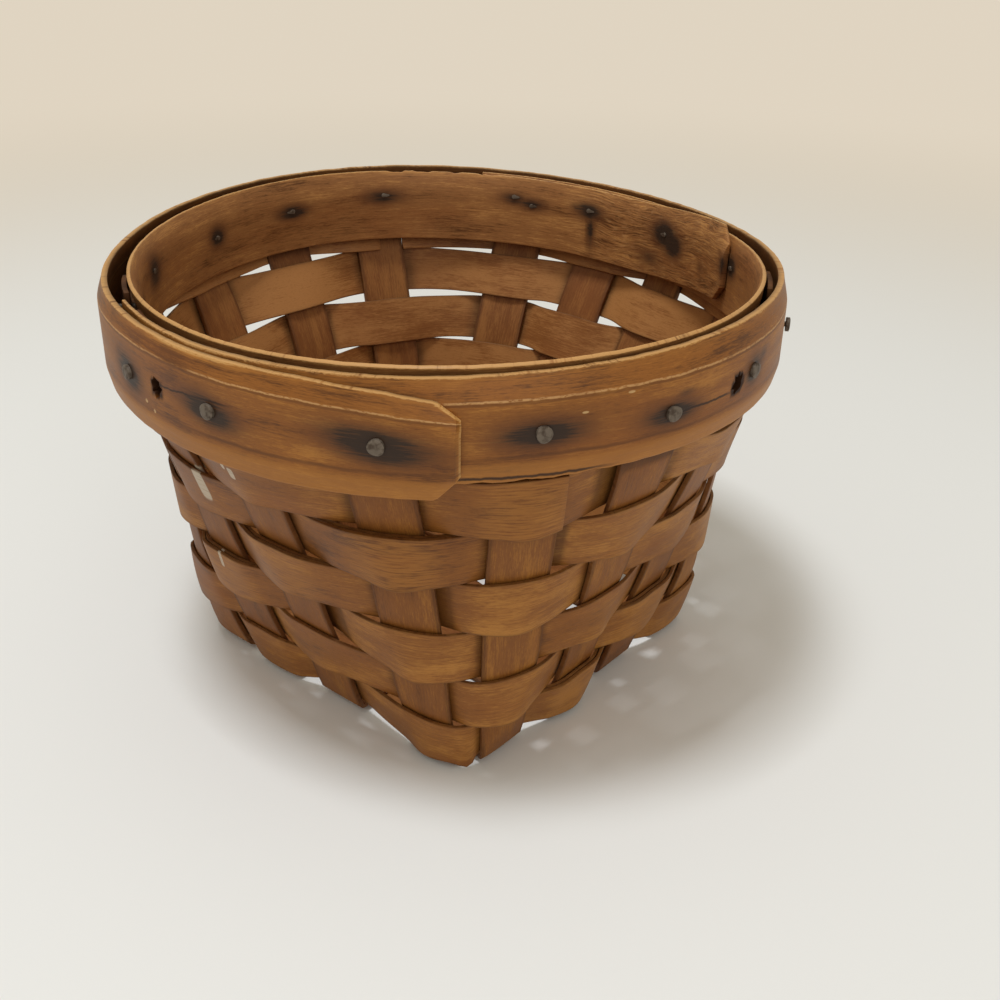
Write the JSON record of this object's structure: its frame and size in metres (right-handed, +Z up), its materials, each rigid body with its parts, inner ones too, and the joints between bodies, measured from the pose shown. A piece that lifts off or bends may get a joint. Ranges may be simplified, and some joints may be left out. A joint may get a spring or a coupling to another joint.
{
  "type": "splint basket",
  "caption": "Small handwoven wood splint basket with a square base, flaring to a round rim bound by nailed inner and outer hoops.",
  "frame": {"origin": "centre of the bounding box at its lowest face, where the base rests", "axes": "+Z up through the open rim; +X and +Y along the two directions of the stakes in the square base"},
  "size_m": [0.1968, 0.1924, 0.1287],
  "materials": {
    "stake wood": "satin, aged",
    "weaver wood": "satin, aged",
    "hoop wood": "satin, worn at the edges",
    "nail iron": "dull, slightly rusted"
  },
  "bodies": {
    "root": {"inner_hoop": "hoop wood", "nail_01": "nail iron", "nail_02": "nail iron", "nail_03": "nail iron", "nail_04": "nail iron", "nail_05": "nail iron", "nail_06": "nail iron", "nail_07": "nail iron", "nail_08": "nail iron", "nail_09": "nail iron", "nail_10": "nail iron", "nail_11": "nail iron", "nail_12": "nail iron", "nail_13": "nail iron", "nail_14": "nail iron", "nail_15": "nail iron", "nail_16": "nail iron", "nail_17": "nail iron", "outer_hoop": "hoop wood", "stake_x_1": "stake wood", "stake_x_2": "stake wood", "stake_x_3": "stake wood", "stake_x_4": "stake wood", "stake_y_1": "stake wood", "stake_y_2": "stake wood", "stake_y_3": "stake wood", "stake_y_4": "stake wood", "weaver_1": "weaver wood", "weaver_2": "weaver wood", "weaver_3": "weaver wood", "weaver_4": "weaver wood", "weaver_5": "weaver wood", "weaver_6": "weaver wood", "weaver_top": "weaver wood"}
  },
  "joints": []
}
